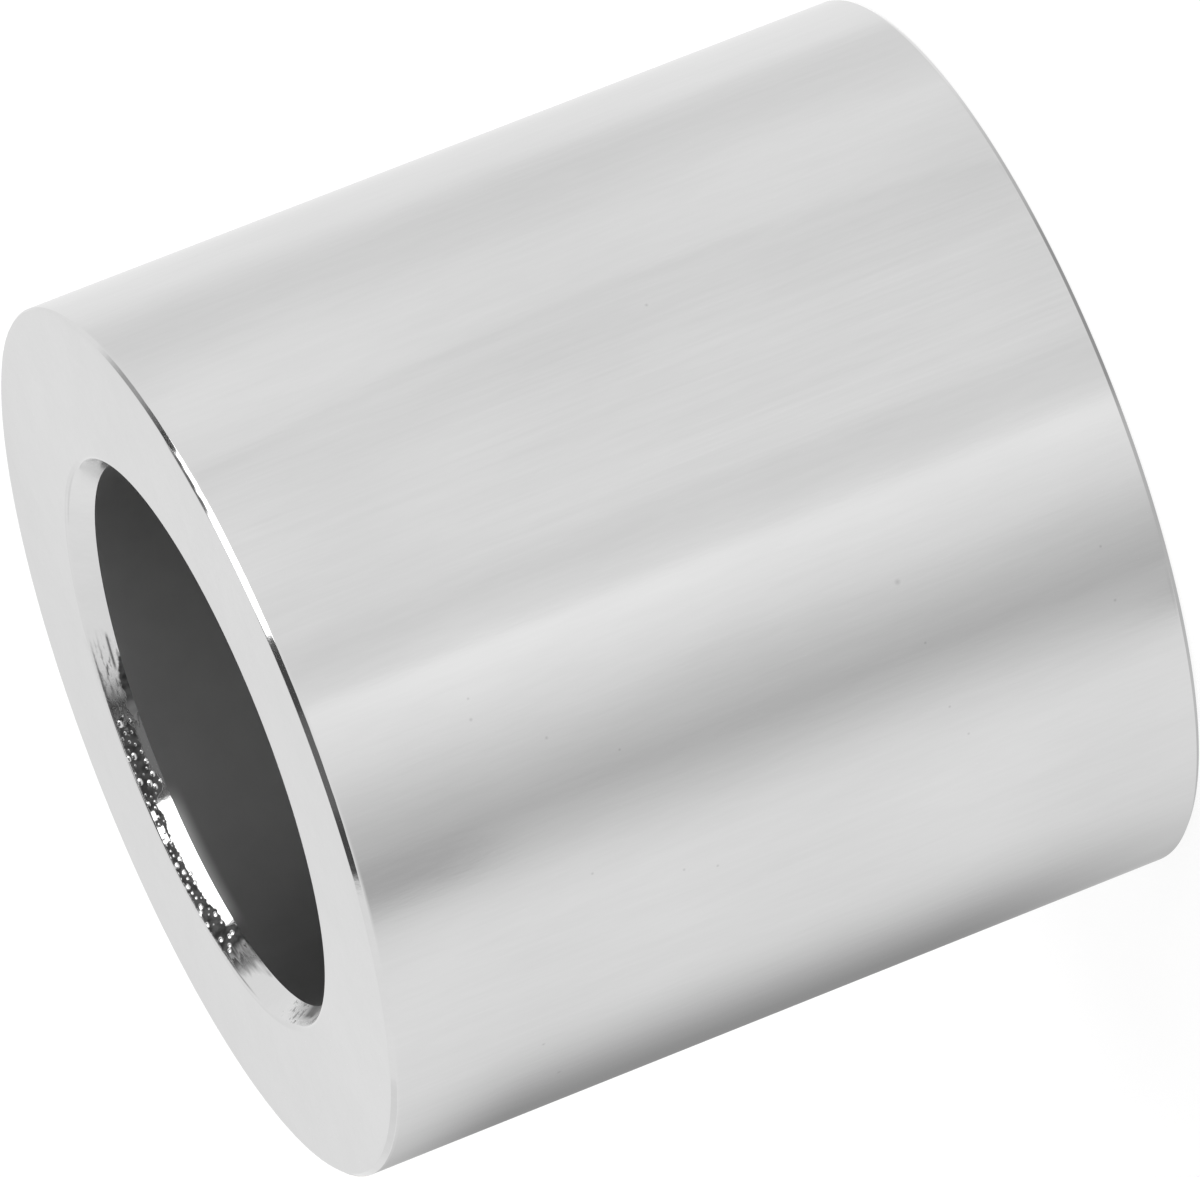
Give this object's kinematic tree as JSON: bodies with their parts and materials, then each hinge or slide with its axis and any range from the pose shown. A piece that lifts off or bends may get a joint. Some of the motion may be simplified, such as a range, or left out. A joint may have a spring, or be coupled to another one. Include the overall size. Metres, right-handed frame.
{
  "type": "spacer sleeve",
  "caption": "Short bright-plated steel spacer sleeve with a countersunk through bore, for holding two parts apart on a screw.",
  "frame": {"origin": "centre of the lower end face, on the bore axis", "axes": "+Z along the bore axis, up through the sleeve as it stands on its end"},
  "size_m": [0.013, 0.013, 0.0125],
  "materials": {
    "chrome": "bright plating over turned steel, with a duller bore"
  },
  "bodies": {
    "root": {"sleeve": "chrome"}
  },
  "joints": []
}
